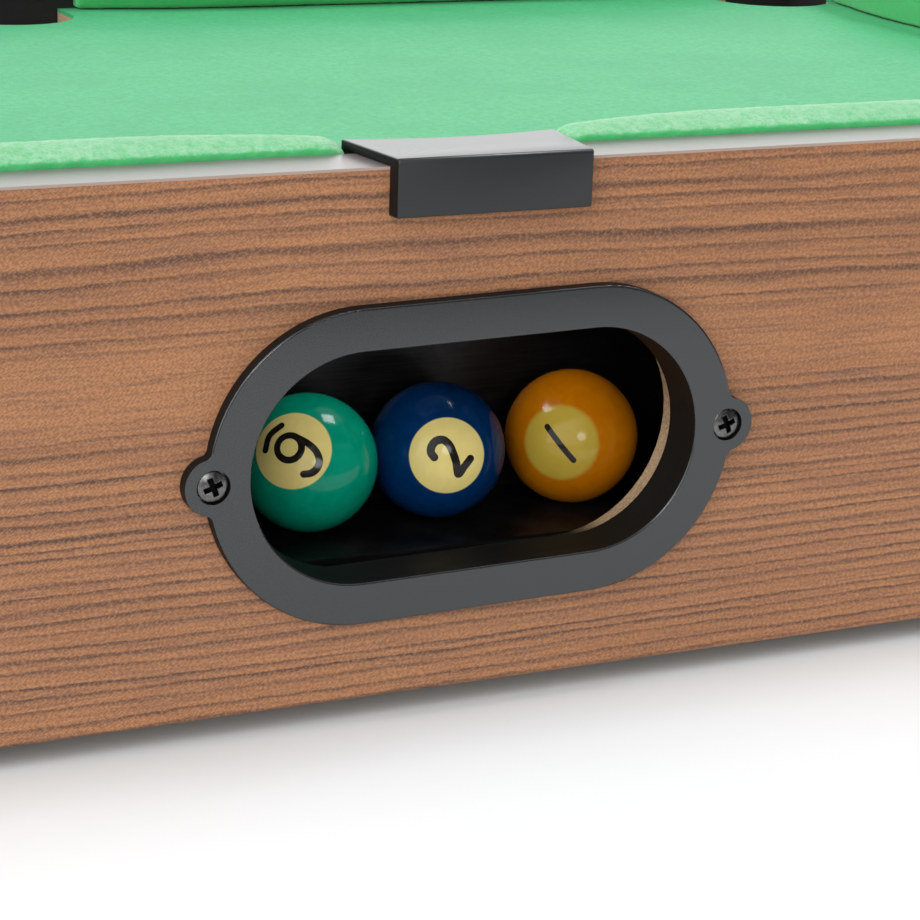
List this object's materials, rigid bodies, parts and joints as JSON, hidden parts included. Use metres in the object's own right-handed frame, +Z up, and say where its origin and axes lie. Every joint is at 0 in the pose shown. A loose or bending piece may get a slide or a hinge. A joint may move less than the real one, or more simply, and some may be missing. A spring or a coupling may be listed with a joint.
{
  "type": "tabletop pool table",
  "caption": "Small wood-effect tabletop pool table with felt bed, felt rail cushions, black pocket guards and an oval ball return window holding numbered balls.",
  "frame": {"origin": "on the floor under the middle of the table", "axes": "+X along the table to the right as seen from the window side, +Y away from the window side, +Z up"},
  "size_m": [0.516, 0.316, 0.1001],
  "materials": {
    "wood_foil": "satin wood-effect foil",
    "grey_edge": "satin",
    "raw_board": "raw fibreboard",
    "black_board": "gloss black",
    "bed_felt": "felt",
    "cushion_felt": "flocked felt",
    "black_plastic": "satin",
    "black_screw": "black oxide",
    "plain_screw": "zinc",
    "foot_rubber": "matte",
    "ball_yellow": "polished",
    "ball_blue": "polished",
    "ball_green": "polished"
  },
  "bodies": {
    "table": {"front_panel": "wood_foil", "rear_panel": "wood_foil", "left_panel": "wood_foil", "right_panel": "wood_foil", "front_edge_band": "grey_edge", "rear_edge_band": "grey_edge", "left_edge_band": "grey_edge", "right_edge_band": "grey_edge", "base_board": "raw_board", "corner_blocks": "raw_board", "block_screws": "plain_screw", "feet": "foot_rubber", "foot_screws": "plain_screw", "bed_board": "raw_board", "bed_cloth": "bed_felt", "front_left_cleat": "raw_board", "front_right_cleat": "raw_board", "rear_left_cleat": "raw_board", "rear_right_cleat": "raw_board", "left_cleat": "raw_board", "right_cleat": "raw_board", "front_left_cushion": "cushion_felt", "front_right_cushion": "cushion_felt", "rear_left_cushion": "cushion_felt", "rear_right_cushion": "cushion_felt", "left_cushion": "cushion_felt", "right_cushion": "cushion_felt", "front_side_guard": "black_plastic", "rear_side_guard": "black_plastic", "front_left_corner_guard": "black_plastic", "front_right_corner_guard": "black_plastic", "rear_left_corner_guard": "black_plastic", "rear_right_corner_guard": "black_plastic", "window_frame": "black_plastic", "window_screws": "black_screw", "tray_floor": "black_board", "tray_back_wall": "black_board", "tray_bearers": "raw_board", "left_gully_ramp": "black_board", "right_gully_ramp": "black_board", "ramp_bearers": "raw_board", "return_deck": "raw_board", "deck_bearers": "raw_board", "left_deflector": "raw_board", "right_deflector": "raw_board"},
    "one": {"ball_one": "ball_yellow"},
    "two": {"ball_two": "ball_blue"},
    "six": {"ball_six": "ball_green"}
  },
  "joints": [
    {"name": "ball_one_roll", "type": "slide", "parent": "table", "child": "one", "axis": [1, 0, 0], "range_m": [-0.0023, 0.027]},
    {"name": "ball_two_take_out", "type": "slide", "parent": "table", "child": "two", "axis": [0, -0.9858, 0.168], "range_m": [0, 0.07]},
    {"name": "ball_six_take_out", "type": "slide", "parent": "table", "child": "six", "axis": [0, -0.9858, 0.168], "range_m": [0, 0.07]}
  ]
}
